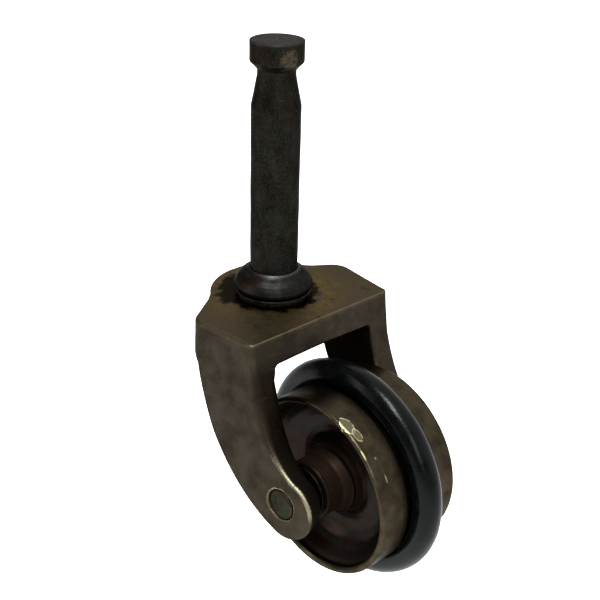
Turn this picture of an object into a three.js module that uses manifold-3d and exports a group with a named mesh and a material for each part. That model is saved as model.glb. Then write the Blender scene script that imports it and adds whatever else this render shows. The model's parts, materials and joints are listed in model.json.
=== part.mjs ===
// Swivel stem caster: a steel stem that turns in a bronze fork, which carries a bronze wheel with a rubber ring tyre.
//
// Millimetres. The origin is the centre of the stem's flat top. +Z runs up the stem, +X points from the stem to the
// wheel, and Y is the axle's direction, with +Y on the left. The pieces are shaped with the fork's top face at z = 0,
// and the whole group then hangs below the origin.
import * as THREE from 'three';
import Module from 'manifold-3d';
import { mergeVertices } from 'three/addons/utils/BufferGeometryUtils.js';

const solids = await Module();
solids.setup();

// Driving dimensions
const STEM_RADIUS = 5.55; // plain shaft of 7/16 inch
const STEM_HEIGHT = 60.2; // fork's top face to the stem's flat top
const WHEEL_TRAIL = 28.5; // stem's axis to the axle, along X
const AXLE_DROP = 35.8; // fork's top face to the axle
const TYRE_RADIUS = 27.1; // axle to the tread
const DRUM_RADIUS = 21.9; // axle to the bronze rim
const DRUM_HALF_WIDTH = 11.9;
const FORK_HALF_GAP = 15; // wheel's middle to a leg's inner face
const PLATE_THICKNESS = 7.2;
const FIT_GAP = 0.1; // left between two pieces that touch or run on each other
const ROUND_SEGMENTS = 48;

// Stem and what is threaded on its lower end
const JOURNAL_RADIUS = 4.5;
const COLLAR_RADIUS = 9.4;
const COLLAR_TOP = 6.4;
const WASHER_RADIUS = 9.2;
const WASHER_THICKNESS = 1.4;
const RIVET_WASHER_RADIUS = 8;
const RIVET_WASHER_THICKNESS = 1;
const RIVET_HEAD_RADIUS = 6.2;
const RIVET_HEAD_HEIGHT = 2.4;
const washerTop = FIT_GAP + WASHER_THICKNESS;
const shoulderHeight = washerTop + FIT_GAP;
const rivetWasherTop = -PLATE_THICKNESS - FIT_GAP;
const rivetWasherBottom = rivetWasherTop - RIVET_WASHER_THICKNESS;
const rivetHeadTop = rivetWasherBottom - FIT_GAP;

// Wheel, axle and tyre
const PIN_RADIUS = 3.65;
const PIN_CHAMFER = 0.35;
const TYRE_THICKNESS = 6.8;
const GROOVE_HALF_WIDTH = 3.64;
const HUB_RADIUS = 6.3;
const HUB_WASHER_RADIUS = 6.1;
const HUB_WASHER_THICKNESS = 0.8;
const tyreMiddle = TYRE_RADIUS - TYRE_THICKNESS / 2;
const grooveFloor = TYRE_RADIUS - TYRE_THICKNESS - FIT_GAP;
const hubHalfWidth = FORK_HALF_GAP - HUB_WASHER_THICKNESS - 2 * FIT_GAP;
const pinBore = PIN_RADIUS + FIT_GAP;

// Fork: a plate with a round boss at its back, and two swept legs whose outer faces draw in towards the front
const PLATE_FRONT = 17.4;
const BOSS_RADIUS = 15.1;
const OUTER_AT_STEM = 23.8; // half width over the legs beside the stem, at the top face
const OUTER_DRAW = 0.1235; // how much each outer face draws in for each millimetre forward
const OUTER_DRAFT = 0.0584; // how much it spreads for each millimetre down
const SIDE_CORNER = [-0.2, OUTER_AT_STEM]; // where a side meets the edge that runs back to the boss
const BOSS_CORNER = [-8.4, 12.55]; // where that edge meets the boss
const LEG_BACK_TOP = 0.8;
const LEG_TIP_RADIUS = 7.6;
const LEG_TIP = [WHEEL_TRAIL + 1.5, -AXLE_DROP - 0.8];
const MARGIN = 4; // how far a cutting solid runs past what it cuts

const steel = new THREE.MeshStandardMaterial({ color: 0x3a3632, roughness: 0.5, metalness: 0.9 });
const bronze = new THREE.MeshStandardMaterial({ color: 0x5e5143, roughness: 0.45, metalness: 0.9 });
const rubber = new THREE.MeshStandardMaterial({ color: 0x16181a, roughness: 0.35, metalness: 0 });

function toSolid(geometry) {
  const plain = geometry.index ? geometry.toNonIndexed() : geometry.clone();
  plain.deleteAttribute('normal');
  plain.deleteAttribute('uv');
  const merged = mergeVertices(plain, 1e-4);
  const vertProperties = new Float32Array(merged.attributes.position.array);
  const triVerts = new Uint32Array(merged.index.array);
  return new solids.Manifold(new solids.Mesh({ numProp: 3, vertProperties, triVerts }));
}

function toGeometry(solid) {
  const mesh = solid.getMesh();
  const geometry = new THREE.BufferGeometry();
  geometry.setAttribute('position', new THREE.BufferAttribute(new Float32Array(mesh.vertProperties), 3));
  geometry.setIndex(new THREE.BufferAttribute(new Uint32Array(mesh.triVerts), 1));
  geometry.computeVertexNormals();
  return geometry;
}

// Turned shape about the Y axis, from [radius, along] pairs in order of rising along where they face outwards.
function turned(profile, segments = ROUND_SEGMENTS) {
  return new THREE.LatheGeometry(profile.map(([radius, along]) => new THREE.Vector2(radius, along)), segments);
}

// The same about the Z axis.
function turnedUpright(profile) {
  return turned(profile).rotateX(Math.PI / 2);
}

// Flat ring with square edges, as a profile that closes on itself.
function ringProfile(innerRadius, outerRadius, bottom, top) {
  return [[innerRadius, bottom], [outerRadius, bottom], [outerRadius, top], [innerRadius, top], [innerRadius, bottom]];
}

// A shape drawn in X and Z, pulled out across Y to both sides.
function acrossY(shape, halfWidth) {
  const options = { depth: 2 * halfWidth, bevelEnabled: false, curveSegments: 14 };
  return new THREE.ExtrudeGeometry(shape, options).translate(0, 0, -halfWidth).rotateX(Math.PI / 2);
}

// Stem: a disc head on a narrow neck, a cone, the long shaft, and a thinner journal with its end peened over.
function stemGeometry() {
  const headTop = STEM_HEIGHT;
  const neckTop = headTop - 6.1;
  const rivetBottom = rivetHeadTop - RIVET_HEAD_HEIGHT;
  return turnedUpright([
    [0, rivetBottom],
    [3.4, rivetBottom + 0.2],
    [5.3, rivetBottom + 0.9],
    [RIVET_HEAD_RADIUS, rivetHeadTop - 0.6],
    [RIVET_HEAD_RADIUS, rivetHeadTop],
    [JOURNAL_RADIUS, rivetHeadTop],
    [JOURNAL_RADIUS, shoulderHeight],
    [STEM_RADIUS, shoulderHeight],
    [STEM_RADIUS, headTop - 14.4],
    [5.1, headTop - 12],
    [4.6, headTop - 9.6],
    [4.3, headTop - 8],
    [4.3, neckTop],
    [5, headTop - 5.7],
    [5.6, headTop - 5],
    [5.85, headTop - 4],
    [5.85, headTop - 0.3],
    [5.55, headTop],
    [0, headTop],
  ]);
}

// Collar: a bell-shaped ring on the shaft, with an undercut below its skirt.
function collarGeometry() {
  const bore = STEM_RADIUS + FIT_GAP;
  return turnedUpright([
    [bore, shoulderHeight],
    [8.7, shoulderHeight],
    [9.1, shoulderHeight + 0.4],
    [COLLAR_RADIUS, shoulderHeight + 1],
    [COLLAR_RADIUS, COLLAR_TOP - 2.9],
    [9.1, COLLAR_TOP - 2],
    [8.4, COLLAR_TOP - 1.2],
    [7.3, COLLAR_TOP - 0.5],
    [6.3, COLLAR_TOP - 0.1],
    [bore, COLLAR_TOP],
    [bore, shoulderHeight],
  ]);
}

function plateShape() {
  const side = OUTER_AT_STEM + MARGIN;
  const [cornerX, cornerY] = SIDE_CORNER;
  const [bossX, bossY] = BOSS_CORNER;
  const slope = (cornerX - bossX) / (cornerY - bossY);
  const outerX = cornerX + slope * (side - cornerY);
  const bossAngle = Math.atan2(bossY, bossX);
  const shape = new THREE.Shape();
  shape.moveTo(PLATE_FRONT, -side);
  shape.lineTo(PLATE_FRONT, side);
  shape.lineTo(outerX, side);
  shape.absarc(0, 0, BOSS_RADIUS, bossAngle, -bossAngle, false);
  shape.lineTo(outerX, -side);
  shape.closePath();
  return shape;
}

function legShape() {
  const [tipX, tipZ] = LEG_TIP;
  const tipStart = THREE.MathUtils.degToRad(68);
  const tipEnd = THREE.MathUtils.degToRad(-102);
  const backEnd = [tipX + LEG_TIP_RADIUS * Math.cos(tipEnd), tipZ + LEG_TIP_RADIUS * Math.sin(tipEnd)];
  const frontEnd = [tipX + LEG_TIP_RADIUS * Math.cos(tipStart), tipZ + LEG_TIP_RADIUS * Math.sin(tipStart)];
  const shape = new THREE.Shape();
  shape.moveTo(PLATE_FRONT, 0);
  shape.lineTo(LEG_BACK_TOP, 0);
  shape.bezierCurveTo(LEG_BACK_TOP + 0.3, -10.4, backEnd[0] - 20.4, backEnd[1] + 6.4, ...backEnd);
  shape.absarc(tipX, tipZ, LEG_TIP_RADIUS, tipEnd, tipStart, false);
  shape.bezierCurveTo(frontEnd[0] - 10, frontEnd[1] + 3.4, PLATE_FRONT + 0.4, -10, PLATE_FRONT, 0);
  return shape;
}

// Block whose two sides are the flat outer faces of the legs.
function envelopeGeometry() {
  const back = -BOSS_RADIUS - MARGIN;
  const front = LEG_TIP[0] + LEG_TIP_RADIUS + MARGIN;
  const bottom = LEG_TIP[1] - LEG_TIP_RADIUS - MARGIN;
  const block = new THREE.BoxGeometry(front - back, 2, MARGIN - bottom);
  block.translate((front + back) / 2, 0, (MARGIN + bottom) / 2);
  const corners = block.attributes.position;
  for (let i = 0; i < corners.count; i += 1) {
    const outer = OUTER_AT_STEM - OUTER_DRAW * corners.getX(i) - OUTER_DRAFT * corners.getZ(i);
    corners.setY(i, Math.sign(corners.getY(i)) * outer);
  }
  return block;
}

function forkGeometry() {
  const envelope = toSolid(envelopeGeometry());
  const plateOptions = { depth: PLATE_THICKNESS, bevelEnabled: false, curveSegments: 20 };
  const plate = toSolid(new THREE.ExtrudeGeometry(plateShape(), plateOptions).translate(0, 0, -PLATE_THICKNESS));
  const legs = toSolid(acrossY(legShape(), OUTER_AT_STEM + MARGIN));
  const gapHeight = 2 * AXLE_DROP;
  const gap = new THREE.BoxGeometry(4 * WHEEL_TRAIL, 2 * FORK_HALF_GAP, gapHeight);
  const wheelGap = toSolid(gap.translate(WHEEL_TRAIL, 0, -PLATE_THICKNESS - gapHeight / 2));
  const boreLength = PLATE_THICKNESS + 2 * MARGIN;
  const bore = new THREE.CylinderGeometry(JOURNAL_RADIUS + FIT_GAP, JOURNAL_RADIUS + FIT_GAP, boreLength, ROUND_SEGMENTS);
  const stemBore = toSolid(bore.rotateX(Math.PI / 2).translate(0, 0, -PLATE_THICKNESS / 2));
  const pinLength = 2 * (OUTER_AT_STEM + MARGIN);
  const hole = new THREE.CylinderGeometry(pinBore, pinBore, pinLength, ROUND_SEGMENTS);
  const axleHole = toSolid(hole.translate(WHEEL_TRAIL, 0, -AXLE_DROP));
  const body = plate.add(legs.subtract(wheelGap)).intersect(envelope);
  return toGeometry(body.subtract(stemBore).subtract(axleHole));
}

// Pin across both legs, flush with their outer faces at its centre, with a small chamfer at each end.
function axlePinGeometry() {
  const end = OUTER_AT_STEM - OUTER_DRAW * WHEEL_TRAIL + OUTER_DRAFT * AXLE_DROP;
  return turned([
    [0, -end],
    [PIN_RADIUS - PIN_CHAMFER, -end],
    [PIN_RADIUS, -end + PIN_CHAMFER],
    [PIN_RADIUS, end - PIN_CHAMFER],
    [PIN_RADIUS - PIN_CHAMFER, end],
    [0, end],
  ]);
}

// Half of the wheel's outline, from the tyre groove out over the rim, into the dished side and along the hub.
function wheelHalfOutline() {
  const lip = DRUM_HALF_WIDTH;
  return [
    [grooveFloor, GROOVE_HALF_WIDTH],
    [DRUM_RADIUS - 0.1, GROOVE_HALF_WIDTH],
    [DRUM_RADIUS + 0.1, GROOVE_HALF_WIDTH + 0.4],
    [DRUM_RADIUS, lip - 1.3],
    [DRUM_RADIUS - 0.3, lip - 0.3],
    [DRUM_RADIUS - 0.9, lip],
    [DRUM_RADIUS - 1.5, lip - 0.4],
    [DRUM_RADIUS - 1.9, lip - 1.6],
    [19.2, 8.6],
    [17.6, 5.8],
    [15.2, 4],
    [12.4, 3.2],
    [9.8, 3.5],
    [8.1, 4.6],
    [7.4, 6.2],
    [7.4, 8],
    [HUB_RADIUS, 9],
    [HUB_RADIUS, hubHalfWidth],
    [pinBore, hubHalfWidth],
  ];
}

// Bronze wheel: two rims either side of the groove, deeply dished sides and a long hub, turned from one piece.
function wheelGeometry() {
  const half = wheelHalfOutline();
  const leftSide = half.map(([radius, along]) => [radius, along]);
  const rightSide = half.map(([radius, along]) => [radius, -along]).reverse();
  return turned([...rightSide, ...leftSide, rightSide[0]], 60);
}

function tyreGeometry() {
  return new THREE.TorusGeometry(tyreMiddle, TYRE_THICKNESS / 2, 16, 72).rotateX(Math.PI / 2);
}

const caster = new THREE.Group();
const aboutStem = new THREE.Group();
const aboutAxle = new THREE.Group();
aboutStem.position.z = -STEM_HEIGHT;
aboutAxle.position.set(WHEEL_TRAIL, 0, -AXLE_DROP);
caster.add(aboutStem);
aboutStem.add(aboutAxle);

function place(group, name, geometry, material) {
  const mesh = new THREE.Mesh(geometry, material);
  mesh.name = name;
  group.add(mesh);
}

const washer = ringProfile(JOURNAL_RADIUS + 2 * FIT_GAP, WASHER_RADIUS, FIT_GAP, washerTop);
const rivetWasher = ringProfile(JOURNAL_RADIUS + FIT_GAP, RIVET_WASHER_RADIUS, rivetWasherBottom, rivetWasherTop);
place(aboutStem, 'stem', stemGeometry(), steel);
place(aboutStem, 'stem_collar', collarGeometry(), steel);
place(aboutStem, 'thrust_washer', turnedUpright(washer), steel);
place(aboutStem, 'rivet_washer', turnedUpright(rivetWasher), steel);
place(aboutStem, 'fork', forkGeometry(), bronze);
place(aboutAxle, 'axle_pin', axlePinGeometry(), steel);
place(aboutAxle, 'wheel', wheelGeometry(), bronze);
place(aboutAxle, 'tyre', tyreGeometry(), rubber);

const hubWasherNear = hubHalfWidth + FIT_GAP;
const hubWasherFar = hubWasherNear + HUB_WASHER_THICKNESS;
const leftWasher = ringProfile(pinBore, HUB_WASHER_RADIUS, hubWasherNear, hubWasherFar);
const rightWasher = ringProfile(pinBore, HUB_WASHER_RADIUS, -hubWasherFar, -hubWasherNear);
place(aboutAxle, 'left_hub_washer', turned(leftWasher), steel);
place(aboutAxle, 'right_hub_washer', turned(rightWasher), steel);

export default caster;
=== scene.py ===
"""Looks for the swivel stem caster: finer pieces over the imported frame, their materials, light and camera.

Shapes are worked out in millimetres and turned into metres when a mesh is made. The upright pieces are
measured from the fork's top face on the stem's axis, and the turned pieces of the wheel from the middle of
the axle.
"""

import json
import math

import bmesh
import bpy
import numpy as np
from mathutils import Matrix, Vector, noise


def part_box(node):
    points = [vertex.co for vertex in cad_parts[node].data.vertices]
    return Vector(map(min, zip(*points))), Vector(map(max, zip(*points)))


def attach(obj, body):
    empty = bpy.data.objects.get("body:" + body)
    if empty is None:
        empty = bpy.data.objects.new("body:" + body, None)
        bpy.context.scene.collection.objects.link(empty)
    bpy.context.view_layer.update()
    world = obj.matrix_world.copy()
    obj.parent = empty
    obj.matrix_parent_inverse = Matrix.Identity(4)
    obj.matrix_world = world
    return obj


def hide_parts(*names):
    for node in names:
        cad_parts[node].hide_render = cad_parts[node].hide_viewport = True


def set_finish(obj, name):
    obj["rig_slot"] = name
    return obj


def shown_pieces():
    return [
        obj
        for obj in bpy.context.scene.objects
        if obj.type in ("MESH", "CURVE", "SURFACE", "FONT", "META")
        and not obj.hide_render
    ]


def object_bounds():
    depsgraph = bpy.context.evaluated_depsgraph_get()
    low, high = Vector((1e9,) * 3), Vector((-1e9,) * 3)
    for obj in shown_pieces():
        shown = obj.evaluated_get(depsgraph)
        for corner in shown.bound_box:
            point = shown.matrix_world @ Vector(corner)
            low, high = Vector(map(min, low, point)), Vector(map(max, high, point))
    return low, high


MM = 0.001

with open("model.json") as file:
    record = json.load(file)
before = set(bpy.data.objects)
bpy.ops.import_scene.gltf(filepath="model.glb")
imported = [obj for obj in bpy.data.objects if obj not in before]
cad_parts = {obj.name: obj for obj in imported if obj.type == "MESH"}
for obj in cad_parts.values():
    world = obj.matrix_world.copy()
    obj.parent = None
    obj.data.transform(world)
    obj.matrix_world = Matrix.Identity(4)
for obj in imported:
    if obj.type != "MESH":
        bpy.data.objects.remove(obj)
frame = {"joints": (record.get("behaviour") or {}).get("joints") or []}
cad_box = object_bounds()


# Sizes and places from the frame, in millimetres
def joint_place(name):
    joint = next(j for j in frame["joints"] if j["name"] == name)
    return Vector(joint["pos_m"]) / MM


def size_of(node):
    low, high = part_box(node)
    return (high - low) / MM


SWIVEL = joint_place("fork_swivel")  # the stem's axis at the fork's top face
AXLE = joint_place("wheel_spin")
TRAIL = AXLE.x - SWIVEL.x
DROP = SWIVEL.z - AXLE.z
STEM_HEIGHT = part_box("stem")[1].z / MM - SWIVEL.z
TYRE_RADIUS = size_of("tyre").z / 2
TYRE_TUBE = size_of("tyre").y / 2
DRUM_RADIUS = size_of("wheel").z / 2
COLLAR_RADIUS = size_of("stem_collar").x / 2
WASHER_RADIUS = size_of("thrust_washer").x / 2
RIVET_WASHER_RADIUS = size_of("rivet_washer").x / 2
STEM_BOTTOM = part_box("stem")[0].z / MM - SWIVEL.z
PIN_RADIUS = size_of("axle_pin").z / 2
PIN_HALF = size_of("axle_pin").y / 2
HUB_WASHER_RADIUS = size_of("left_hub_washer").z / 2

# Sizes that no node's box gives
STEM_RADIUS = 5.63
JOURNAL_RADIUS = 4.5
FORK_HALF_GAP = 15
DRUM_HALF_WIDTH = 11.9
GROOVE_HALF_WIDTH = 3.64
FIT_GAP = 0.1
TYRE_SHIFT = 0.45  # the ring has crept a little towards the right-hand drum

# The fork's plate, with a wedge from each side corner back to the boss
PLATE_THICKNESS = 7.2
PLATE_FRONT = 17.4
PLATE_ARCH = 0.25  # rise of the underside half way between the legs
BOSS_RADIUS = 15.6
BOSS_OFFSET = (-0.6, 1.0)  # the casting is a little lopsided
BOSS_FILLET = 1.5
SIDE_CORNER = (-1.1, 23.8)
BOSS_CORNER = (-8.1, 12.5)

# The fork's legs
OUTER_AT_STEM = 23.8
OUTER_DRAW = 0.1235
OUTER_DRAFT = 0.0584
LEG_LEAN = 0.6  # how far the legs sweep forward for each millimetre down
LEG_TAPER = 0.38  # how much a leg's outline shrinks for each millimetre inwards, at the foot
LEG_BACK = -0.95
LEG_BACK_FOOT = -7.8  # where the straight back edge turns into the sweep
LEG_TIP_RADIUS = 7.8
LEG_TIP = (TRAIL + 1.2, -DROP - 0.8)
LEG_TIP_ARC = (-102, 68)  # degrees
HAUNCH_FILLET = 4.0

# Edge roundings of the casting
SHARP = 0.01
PLAN_EDGE = 0.6
SLAB_EDGE = 0.4
GAP_CORNER = 1.0
JOURNAL_HOLE_EDGE = 0.3
PIN_HOLE_EDGE = 0.25

FORK_PITCH = 0.42  # grid step of the cast fork's surface


# ---- meshes
LONGEST_STRETCH = 0.9  # of a turned profile, between two points
WAVE_SIZE = 5.0


def make_piece(name, points, faces, body, slot_name, nodes, normals=None):
    """A shown piece from points in millimetres, which stands for the CAD nodes named."""
    mesh = bpy.data.meshes.new(name)
    mesh.from_pydata((np.asarray(points) * MM).tolist(), [], faces)
    mesh.validate()
    mesh.shade_smooth()
    if normals is not None:
        mesh.normals_split_custom_set_from_vertices(normals.tolist())
    piece = bpy.data.objects.new(name, mesh)
    bpy.context.scene.collection.objects.link(piece)
    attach(piece, body)
    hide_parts(*nodes)
    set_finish(piece, slot_name)
    return piece


def vertex_table(items, field):
    """One row of three numbers for each item."""
    flat = np.zeros(len(items) * 3)
    items.foreach_get(field, flat)
    return flat.reshape(-1, 3)


def store_bend(piece):
    """Keeps the surface's bend per millimetre as the attribute "bend", which is above 0 on raised edges."""
    mesh = piece.data
    count = len(mesh.vertices)
    points = vertex_table(mesh.vertices, "co") / MM
    normals = vertex_table(mesh.vertex_normals, "vector")
    ends = np.zeros(len(mesh.edges) * 2, int)
    mesh.edges.foreach_get("vertices", ends)
    first, second = ends.reshape(-1, 2).T
    total = np.zeros(count)
    weight = np.zeros(count)
    for here, there in ((first, second), (second, first)):
        step = points[there] - points[here]
        length = np.linalg.norm(step, axis=1) + 1e-6
        bend = -2 * np.einsum("ij,ij->i", step, normals[here]) / length
        np.add.at(total, here, bend)
        np.add.at(weight, here, length)
    attribute = mesh.attributes.new("bend", "FLOAT", "POINT")
    attribute.data.foreach_set("value", (total / np.maximum(weight, 1e-6)).astype(np.float32))


def rounded(corners, steps=6):
    """Points along a line of (radius, along, fillet) corners, with each corner rounded by its fillet."""
    points = []
    for i, (radius, along, fillet) in enumerate(corners):
        here = np.array([radius, along], float)
        if not fillet or i in (0, len(corners) - 1):
            points.append(here)
            continue
        back = np.array(corners[i - 1][:2], float) - here
        ahead = np.array(corners[i + 1][:2], float) - here
        back_length = np.linalg.norm(back)
        ahead_length = np.linalg.norm(ahead)
        back /= back_length
        ahead /= ahead_length
        half = math.acos(max(-1, min(1, float(back @ ahead)))) / 2
        reach = min(fillet / math.tan(half), 0.49 * back_length, 0.49 * ahead_length)
        for t in np.linspace(0, 1, steps + 1):
            points.append(here + back * reach * (1 - t) ** 2 + ahead * reach * t**2)
    return points


def divided(points, longest):
    """The same line with no stretch longer than that."""
    out = [np.asarray(points[0], float)]
    for a, b in zip(points, points[1:]):
        a, b = np.asarray(a, float), np.asarray(b, float)
        count = max(1, math.ceil(np.linalg.norm(b - a) / longest))
        out += [a + (b - a) * k / count for k in range(1, count + 1)]
    return out


def turned(profile, centre, upright, segments):
    """Points and faces of a profile of (radius, along) turned about Z, or about Y, through the centre."""
    rings = []
    for radius, along in profile:
        angles = np.linspace(0, 2 * math.pi, segments, endpoint=False)
        flat = np.stack([radius * np.cos(angles), radius * np.sin(angles)], 1)
        on_axis = np.full(segments, along)
        if upright:
            rings.append(np.stack([flat[:, 0], flat[:, 1], on_axis], 1))
        else:
            rings.append(np.stack([flat[:, 1], on_axis, flat[:, 0]], 1))
    points = np.concatenate(rings) + np.array(centre)
    faces = []
    for ring in range(len(profile) - 1):
        low = ring * segments
        high = low + segments
        for k in range(segments):
            after = (k + 1) % segments
            faces.append((low + k, low + after, high + after, high + k))
    return points, faces


def turned_piece(name, profile, centre, upright, body, slot_name, nodes,
                 segments=128, closed=False, waver=0.0):
    """A turned piece. Waver moves the surface in and out by up to that much, as hand work and wear do."""
    line = divided(profile, LONGEST_STRETCH)
    if closed:
        line = line[:-1]
    points, faces = turned(line, centre, upright, segments)
    if closed:
        last = (len(line) - 1) * segments
        for k in range(segments):
            after = (k + 1) % segments
            faces.append((last + k, last + after, after, k))
    piece = make_piece(name, points, faces, body, slot_name, nodes)
    if not closed:
        merge_axis_points(piece.data)
    if waver:
        wave(piece.data, waver, WAVE_SIZE)
    store_bend(piece)
    weighted = piece.modifiers.new("even_normals", "WEIGHTED_NORMAL")
    weighted.keep_sharp = True
    return piece


def merge_axis_points(mesh):
    """Joins the points that a zero radius puts on top of each other."""
    work = bmesh.new()
    work.from_mesh(mesh)
    bmesh.ops.remove_doubles(work, verts=work.verts, dist=1e-7)
    work.to_mesh(mesh)
    work.free()
    mesh.shade_smooth()


def wave(mesh, amount, size):
    """Moves the points along their normals by smooth noise of that size, both in millimetres."""
    places = vertex_table(mesh.vertices, "co")
    normals = vertex_table(mesh.vertex_normals, "vector")
    heights = [noise.noise(Vector(place / (size * MM))) for place in places]
    places += normals * (np.array(heights) * amount * MM)[:, None]
    mesh.vertices.foreach_set("co", places.ravel())
    mesh.update()


# ---- the cast fork
def round_union(a, b, radius):
    """Distance to two shapes joined, with a hollow fillet where they meet."""
    u = np.maximum(radius - a, 0)
    v = np.maximum(radius - b, 0)
    return np.maximum(radius, np.minimum(a, b)) - np.hypot(u, v)


def round_cut(a, b, radius):
    """Distance to what two shapes share, with a rounded edge where they meet."""
    u = np.maximum(radius + a, 0)
    v = np.maximum(radius + b, 0)
    return np.minimum(-radius, np.maximum(a, b)) + np.hypot(u, v)


def smooth_step(value, low, high):
    t = np.clip((value - low) / (high - low), 0, 1)
    return t * t * (3 - 2 * t)


def outline_distance(u, v, outline):
    """Signed distance from the points (u, v) to a closed outline, below 0 inside it."""
    nearest = np.inf
    inside = False
    for (au, av), (bu, bv) in zip(outline, outline[1:] + outline[:1]):
        eu = bu - au
        ev = bv - av
        if eu == 0 and ev == 0:
            continue
        t = np.clip(((u - au) * eu + (v - av) * ev) / (eu * eu + ev * ev), 0, 1)
        nearest = np.minimum(nearest, np.hypot(u - au - t * eu, v - av - t * ev))
        if ev:
            level = (av > v) != (bv > v)
            inside = inside ^ (level & (u < au + (v - av) * eu / ev))
    return np.where(inside, -nearest, nearest)


def bezier(a, b, c, d, steps):
    """Points after a up to d along a cubic curve."""
    a, b, c, d = (np.array(p, float) for p in (a, b, c, d))
    points = []
    for k in range(1, steps + 1):
        t = k / steps
        p = a * (1 - t) ** 3 + 3 * b * t * (1 - t) ** 2 + 3 * c * t * t * (1 - t) + d * t**3
        points.append(tuple(p))
    return points


def leg_tip(angle):
    """Point on the leg's round tip, at that angle from +X upwards."""
    return LEG_TIP[0] + LEG_TIP_RADIUS * math.cos(angle), LEG_TIP[1] + LEG_TIP_RADIUS * math.sin(angle)


def leg_outline():
    """The leg from the side, in X and Z, carried up past the top face."""
    above = 6
    start, end = (math.radians(angle) for angle in LEG_TIP_ARC)
    back = leg_tip(start)
    front = leg_tip(end)
    back_foot = (LEG_BACK, LEG_BACK_FOOT)
    back_pull = (back[0] - 19.6, back[1] + 6.4)
    front_pull = (front[0] - 10, front[1] + 3.4)
    outline = [(PLATE_FRONT, above), (LEG_BACK, above), back_foot]
    outline += bezier(back_foot, (0.1, -14.5), back_pull, back, 40)
    outline += [leg_tip(angle) for angle in np.linspace(start, end, 24)[1:]]
    outline += bezier(front, front_pull, (PLATE_FRONT + 0.4, -10), (PLATE_FRONT, 0), 40)
    return outline


LEG_OUTLINE = leg_outline()


def plate_distance(x, y):
    """Plate from above: the round boss joined to the wedge that widens to the legs."""
    boss = np.hypot(x - BOSS_OFFSET[0], y - BOSS_OFFSET[1]) - BOSS_RADIUS
    run = np.array(SIDE_CORNER) - np.array(BOSS_CORNER)
    run /= np.linalg.norm(run)
    past_edge = -run[1] * (x - SIDE_CORNER[0]) + run[0] * (np.abs(y) - SIDE_CORNER[1])
    wedge = round_cut(past_edge, BOSS_CORNER[0] - x, 0.1)
    return round_union(boss, wedge, BOSS_FILLET)


def past_outer_face(x, side, z):
    """Distance past a leg's outer face, which draws in towards the front and spreads towards the foot."""
    slant = math.sqrt(1 + OUTER_DRAW**2 + OUTER_DRAFT**2)
    return (side - (OUTER_AT_STEM - OUTER_DRAW * x - OUTER_DRAFT * z)) / slant


def blank_distance(x, y, z, outer, forward):
    """The legs and the plate before the gap between the legs is cut."""
    taper = LEG_TAPER * smooth_step(-z, 12, 38) * forward
    leg = outline_distance(x, z, LEG_OUTLINE) - taper * outer
    slab = round_cut(-PLATE_THICKNESS - z, x - PLATE_FRONT, SLAB_EDGE)
    fillet = SHARP + HAUNCH_FILLET * smooth_step(-x, -10, -4)
    return round_cut(round_union(leg, slab, fillet), plate_distance(x, y), PLAN_EDGE)


def gap_distance(y, z):
    """The gap between the legs, up to the plate's slightly arched underside."""
    arch = PLATE_ARCH * np.clip(1 - (y / FORK_HALF_GAP) ** 2, 0, 1)
    return round_cut(np.abs(y) - FORK_HALF_GAP, z + PLATE_THICKNESS - arch, GAP_CORNER)


def gap_edge(z, near, forward):
    """Rounding of the gap's edges: wider at the front, and widest on the left leg below the plate."""
    return 0.4 + 0.5 * forward + 1.3 * forward * near * smooth_step(-z, 8, 11)


def outer_edge(z, near, forward):
    """Rounding of the legs' outer edges: widest below the plate, then tighter towards the foot."""
    lower = 6 * (1 - near)
    fade = smooth_step(-z, 14 + lower, 28 + lower)
    along_leg = 0.5 + (1.0 + 0.9 * smooth_step(-z, 5, 12)) * (1 - 0.75 * fade)
    return along_leg + 1.5 * (1 - forward) * smooth_step(z, -16, -3)


def top_edge(x, side, near):
    """Rounding of the top face's edge: soft over the legs, crisp along the front."""
    at_side = smooth_step(side, 15, 21)
    at_front = smooth_step(x, 13.5, 16.8)
    soft = 0.5 + (0.2 + 0.4 * near) * at_side
    return soft - 0.5 * at_front * at_side * near - 0.2 * at_front


def fork_distance(x, y, z):
    """Distance to the cast fork, in millimetres from the top face on the stem's axis, below 0 inside it."""
    side = np.abs(y)
    near = smooth_step(-y, 0, 10)  # 0 on the right, 1 at the left leg
    forward = smooth_step(x + LEG_LEAN * z, -1, 9)  # 0 along the back of the legs, 1 along their front
    outer = past_outer_face(x, side, z)
    body = blank_distance(x, y, z, outer, forward)
    body = round_cut(body, -gap_distance(y, z), gap_edge(z, near, forward))
    body = round_cut(body, outer, outer_edge(z, near, forward))
    body = round_cut(body, z, top_edge(x, side, near))
    journal_hole = JOURNAL_RADIUS + FIT_GAP - np.hypot(x, y)
    pin_hole = PIN_RADIUS + FIT_GAP - np.hypot(x - TRAIL, z + DROP)
    body = round_cut(body, journal_hole, JOURNAL_HOLE_EDGE)
    return round_cut(body, pin_hole, PIN_HOLE_EDGE)


def edge_crossings(values, inside, origin, pitch):
    """For each grid cell the surface passes through, the mean of its crossings with the cell's edges."""
    shape = tuple(n - 1 for n in values.shape)
    total = np.zeros(shape + (3,))
    count = np.zeros(shape)
    for axis in range(3):
        others = [a for a in range(3) if a != axis]
        for i in (0, 1):
            for j in (0, 1):
                start = [0, 0, 0]
                start[others[0]] = i
                start[others[1]] = j
                end = list(start)
                end[axis] = 1
                a = tuple(slice(s, s + n) for s, n in zip(start, shape))
                b = tuple(slice(s, s + n) for s, n in zip(end, shape))
                crossed = inside[a] != inside[b]
                gap = np.where(crossed, values[a] - values[b], 1)
                share = np.where(crossed, values[a] / gap, 0)
                place = np.zeros(shape + (3,))
                place[..., others[0]] = i
                place[..., others[1]] = j
                place[..., axis] = share
                total += place * crossed[..., None]
                count += crossed
    cells = np.argwhere(count > 0)
    inner = total[count > 0] / count[count > 0][:, None]
    return cells, origin + (cells + inner) * pitch, count > 0


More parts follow.
